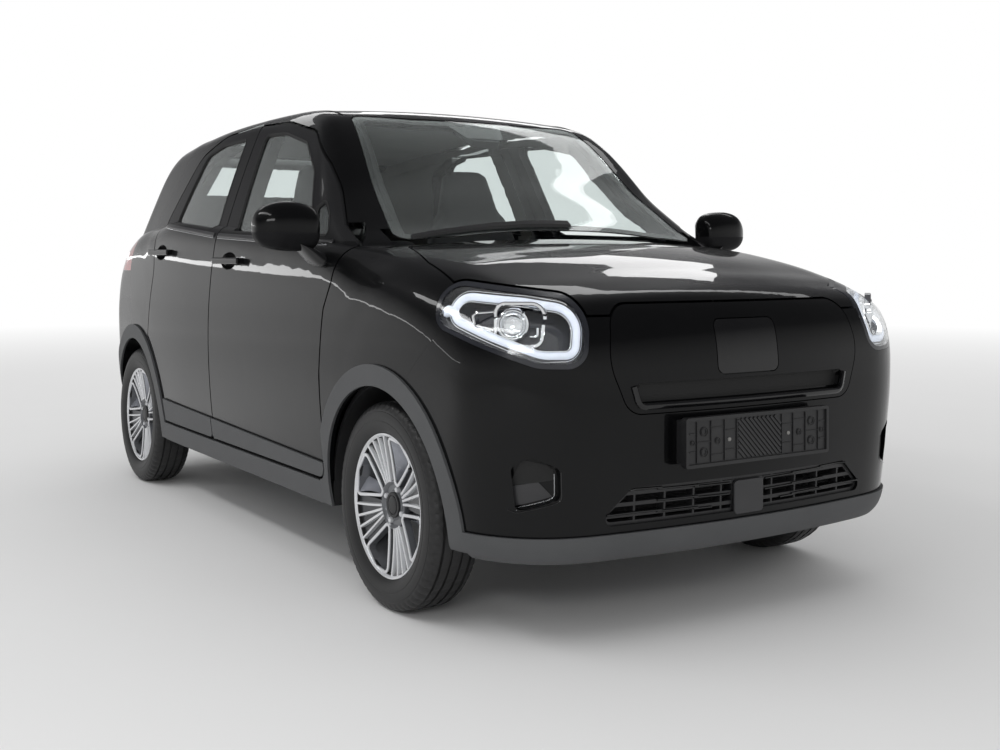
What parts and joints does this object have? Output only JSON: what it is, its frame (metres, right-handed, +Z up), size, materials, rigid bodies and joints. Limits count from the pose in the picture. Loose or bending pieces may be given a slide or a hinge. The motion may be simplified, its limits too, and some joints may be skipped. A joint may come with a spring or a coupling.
{
  "type": "city car",
  "caption": "Small five-door electric hatchback in gloss black with opening doors, bonnet, tailgate and charging flap, steered front wheels and a full cabin.",
  "frame": {"origin": "on the ground under the middle of the overall length, on the car's centre plane", "axes": "+X towards the front, +Y to the car's left, +Z up"},
  "size_m": [3.6599, 2.0124, 1.5773],
  "materials": {
    "body_paint": "gloss",
    "cladding": "matte",
    "black_plastic": "satin",
    "window_glass": "clear",
    "lamp_lens": "clear",
    "lamp_housing": "gloss",
    "tail_lamp_red": "gloss",
    "tyre": "matte",
    "alloy": "machined",
    "chassis": "matte",
    "steel": "brushed",
    "casing": "cast",
    "seat_cloth": "woven",
    "dash_plastic": "grained",
    "roof_lining": "felt",
    "plate_blank": "satin"
  },
  "bodies": {
    "body": {"battery": "casing", "cowl": "black_plastic", "dashboard": "dash_plastic", "floor_pan": "chassis", "front_body": "chassis", "front_bumper": "body_paint", "front_fenders": "body_paint", "front_lip": "cladding", "front_seats": "seat_cloth", "front_subframe": "chassis", "headlamp_lenses": "lamp_lens", "headlamps": "lamp_housing", "headliner": "roof_lining", "lower_grille": "black_plastic", "lower_trim": "cladding", "motor": "casing", "nose_panel": "body_paint", "plate_holder": "plate_blank", "rear_axle": "steel", "rear_bench": "seat_cloth", "rear_bumper": "body_paint", "roof_panel": "body_paint", "side_frame_left": "body_paint", "side_frame_right": "body_paint", "tail_lamps": "tail_lamp_red", "windscreen": "window_glass", "wiper": "black_plastic"},
    "front_door_left": {"front_door_left": "body_paint", "front_door_glass_left": "window_glass", "front_door_cladding_left": "cladding", "mirror_left": "body_paint"},
    "rear_door_left": {"rear_door_left": "body_paint", "rear_door_glass_left": "window_glass", "rear_door_cladding_left": "cladding"},
    "knuckle_left": {"knuckle_left": "steel"},
    "front_wheel_left": {"front_rim_left": "alloy", "front_tyre_left": "tyre"},
    "rear_wheel_left": {"rear_rim_left": "alloy", "rear_tyre_left": "tyre"},
    "front_door_right": {"front_door_right": "body_paint", "front_door_glass_right": "window_glass", "front_door_cladding_right": "cladding", "mirror_right": "body_paint"},
    "rear_door_right": {"rear_door_right": "body_paint", "rear_door_glass_right": "window_glass", "rear_door_cladding_right": "cladding"},
    "knuckle_right": {"knuckle_right": "steel"},
    "front_wheel_right": {"front_rim_right": "alloy", "front_tyre_right": "tyre"},
    "rear_wheel_right": {"rear_rim_right": "alloy", "rear_tyre_right": "tyre"},
    "bonnet": {"bonnet": "body_paint"},
    "tailgate": {"tailgate": "body_paint", "tailgate_glass": "window_glass"},
    "charge_flap": {"charge_flap": "black_plastic"},
    "steering_wheel": {"steering_wheel": "dash_plastic"}
  },
  "joints": [
    {"name": "front_door_left_hinge", "type": "hinge", "parent": "body", "child": "front_door_left", "pos_m": [0.715, 0.805, 0.7], "axis": [0, 0, 1], "range_deg": [-68, 0]},
    {"name": "rear_door_left_hinge", "type": "hinge", "parent": "body", "child": "rear_door_left", "pos_m": [-0.296, 0.805, 0.7], "axis": [0, 0, 1], "range_deg": [-68, 0]},
    {"name": "steer_left", "type": "hinge", "parent": "body", "child": "knuckle_left", "pos_m": [1.12, 0.647, 0.298], "axis": [0, 0, 1], "range_deg": [-35, 35]},
    {"name": "front_wheel_left_spin", "type": "hinge", "parent": "knuckle_left", "child": "front_wheel_left", "pos_m": [1.12, 0.707, 0.298], "axis": [0, 1, 0], "continuous": true},
    {"name": "rear_wheel_left_spin", "type": "hinge", "parent": "body", "child": "rear_wheel_left", "pos_m": [-1.28, 0.707, 0.298], "axis": [0, 1, 0], "continuous": true},
    {"name": "front_door_right_hinge", "type": "hinge", "parent": "body", "child": "front_door_right", "pos_m": [0.715, -0.805, 0.7], "axis": [0, 0, 1], "range_deg": [0, 68]},
    {"name": "rear_door_right_hinge", "type": "hinge", "parent": "body", "child": "rear_door_right", "pos_m": [-0.296, -0.805, 0.7], "axis": [0, 0, 1], "range_deg": [0, 68]},
    {"name": "steer_right", "type": "hinge", "parent": "body", "child": "knuckle_right", "pos_m": [1.12, -0.647, 0.298], "axis": [0, 0, 1], "range_deg": [-35, 35]},
    {"name": "front_wheel_right_spin", "type": "hinge", "parent": "knuckle_right", "child": "front_wheel_right", "pos_m": [1.12, -0.707, 0.298], "axis": [0, 1, 0], "continuous": true},
    {"name": "rear_wheel_right_spin", "type": "hinge", "parent": "body", "child": "rear_wheel_right", "pos_m": [-1.28, -0.707, 0.298], "axis": [0, 1, 0], "continuous": true},
    {"name": "bonnet_hinge", "type": "hinge", "parent": "body", "child": "bonnet", "pos_m": [0.94, 0, 1.058], "axis": [0, -1, 0], "range_deg": [0, 50]},
    {"name": "tailgate_hinge", "type": "hinge", "parent": "body", "child": "tailgate", "pos_m": [-1.365, 0, 1.511], "axis": [0, 1, 0], "range_deg": [0, 78]},
    {"name": "charge_flap_hinge", "type": "hinge", "parent": "body", "child": "charge_flap", "pos_m": [1.791, -0.1135, 0.769], "axis": [0, 0, -1], "range_deg": [0, 95]},
    {"name": "steering_wheel_turn", "type": "hinge", "parent": "body", "child": "steering_wheel", "pos_m": [0.44, 0.33, 0.905], "axis": [-0.8829, 0, 0.4695], "range_deg": [-510, 510]}
  ],
  "couplings": [
    {"joint": "steer_right", "follows": "steer_left", "ratio": 1},
    {"joint": "steering_wheel_turn", "follows": "steer_left", "ratio": 14.5}
  ]
}
